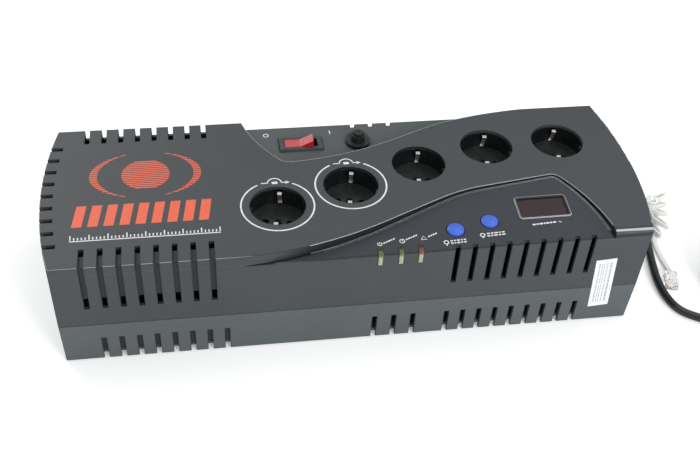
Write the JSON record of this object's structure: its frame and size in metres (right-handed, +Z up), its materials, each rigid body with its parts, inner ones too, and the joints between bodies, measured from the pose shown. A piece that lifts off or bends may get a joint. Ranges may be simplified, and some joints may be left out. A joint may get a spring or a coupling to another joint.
{
  "type": "voltage stabilizer",
  "caption": "Desktop voltage stabilizer: long vented case with earthed sockets on top, a sunken control panel with display and buttons, rocker switch, breaker, mains and telephone leads.",
  "frame": {"origin": "on the table, under the middle of the case", "axes": "+X to the right along the case, towards the leads; +Y to the rear, towards the switch; +Z up"},
  "size_m": [0.6518, 0.1831, 0.1024],
  "materials": {
    "charcoal_cover": "fine matte moulded texture",
    "charcoal_tray": "fine matte moulded texture",
    "guard_plastic": "matte moulded",
    "socket_black": "glossy moulded",
    "sprung_nickel": "nickel plated strip",
    "zinc_steel": "zinc plated",
    "contact_brass": "stamped strip",
    "switch_black": "satin moulded",
    "rocker_red": "clear red moulded",
    "button_blue": "satin moulded",
    "window_red": "dark red filter",
    "clear_pipe": "milky clear moulded",
    "board_green": "solder mask",
    "relay_blue": "moulded",
    "sleeve_dark": "shrink sleeve",
    "block_green": "moulded",
    "core_steel": "laminated and varnished",
    "tape_yellow": "polyester tape",
    "rubber_black": "moulded",
    "cord_black": "flexible sheath",
    "cord_white": "flexible sheath",
    "plug_clear": "clear moulded"
  },
  "bodies": {
    "case": {"top_cover": "charcoal_cover", "bottom_tray": "charcoal_tray", "vent_guard": "guard_plastic", "tray_guard": "guard_plastic", "socket_insert_1": "socket_black", "socket_insert_2": "socket_black", "socket_insert_3": "socket_black", "socket_insert_4": "socket_black", "socket_insert_5": "socket_black", "earth_clip_1": "sprung_nickel", "earth_clip_2": "sprung_nickel", "earth_clip_3": "sprung_nickel", "earth_clip_4": "sprung_nickel", "earth_clip_5": "sprung_nickel", "socket_screws": "zinc_steel", "live_contacts": "contact_brass", "neutral_contacts": "contact_brass", "switch_housing": "switch_black", "switch_terminals": "contact_brass", "breaker_body": "switch_black", "breaker_nut": "switch_black", "breaker_terminals": "contact_brass", "key_switches": "switch_black", "display_window": "window_red", "display_module": "switch_black", "light_pipe_1": "clear_pipe", "light_pipe_2": "clear_pipe", "light_pipe_3": "clear_pipe", "indicator_lamps": "clear_pipe", "control_board": "board_green", "board_screws": "zinc_steel", "main_board": "board_green", "relays": "relay_blue", "capacitors": "sleeve_dark", "terminal_block": "block_green", "supply_transformer": "core_steel", "transformer_core": "core_steel", "transformer_winding": "tape_yellow", "transformer_frame": "zinc_steel", "transformer_screws": "zinc_steel", "rubber_feet": "rubber_black", "case_screws": "zinc_steel", "strain_relief": "cord_black", "mains_lead": "cord_black", "mains_coil": "cord_black", "mains_tail": "cord_black", "mains_plug": "cord_black", "phone_jack": "switch_black", "phone_plug_in": "plug_clear", "phone_feed": "cord_white", "phone_hank": "cord_white", "hank_tie": "cord_white", "phone_tail": "cord_white", "phone_plug": "plug_clear"},
    "rocker": {"switch_rocker": "rocker_red"},
    "left_push": {"left_button": "button_blue", "left_plunger": "switch_black"},
    "right_push": {"right_button": "button_blue", "right_plunger": "switch_black"},
    "reset": {"breaker_button": "switch_black"}
  },
  "joints": [
    {"name": "rocker_hinge", "type": "hinge", "parent": "case", "child": "rocker", "pos_m": [-0.0303, 0.0555, 0.089], "axis": [0, 1, 0], "range_deg": [0, 26]},
    {"name": "left_press", "type": "slide", "parent": "case", "child": "left_push", "axis": [0.0106, 0.055, -0.9984], "range_m": [0, 0.0012], "stiffness_N_per_m": 300, "springref_m": -0.001},
    {"name": "right_press", "type": "slide", "parent": "case", "child": "right_push", "axis": [0.0106, 0.055, -0.9984], "range_m": [0, 0.0012], "stiffness_N_per_m": 300, "springref_m": -0.001},
    {"name": "reset_slide", "type": "slide", "parent": "case", "child": "reset", "axis": [0, 0, 1], "range_m": [0, 0.004]}
  ]
}
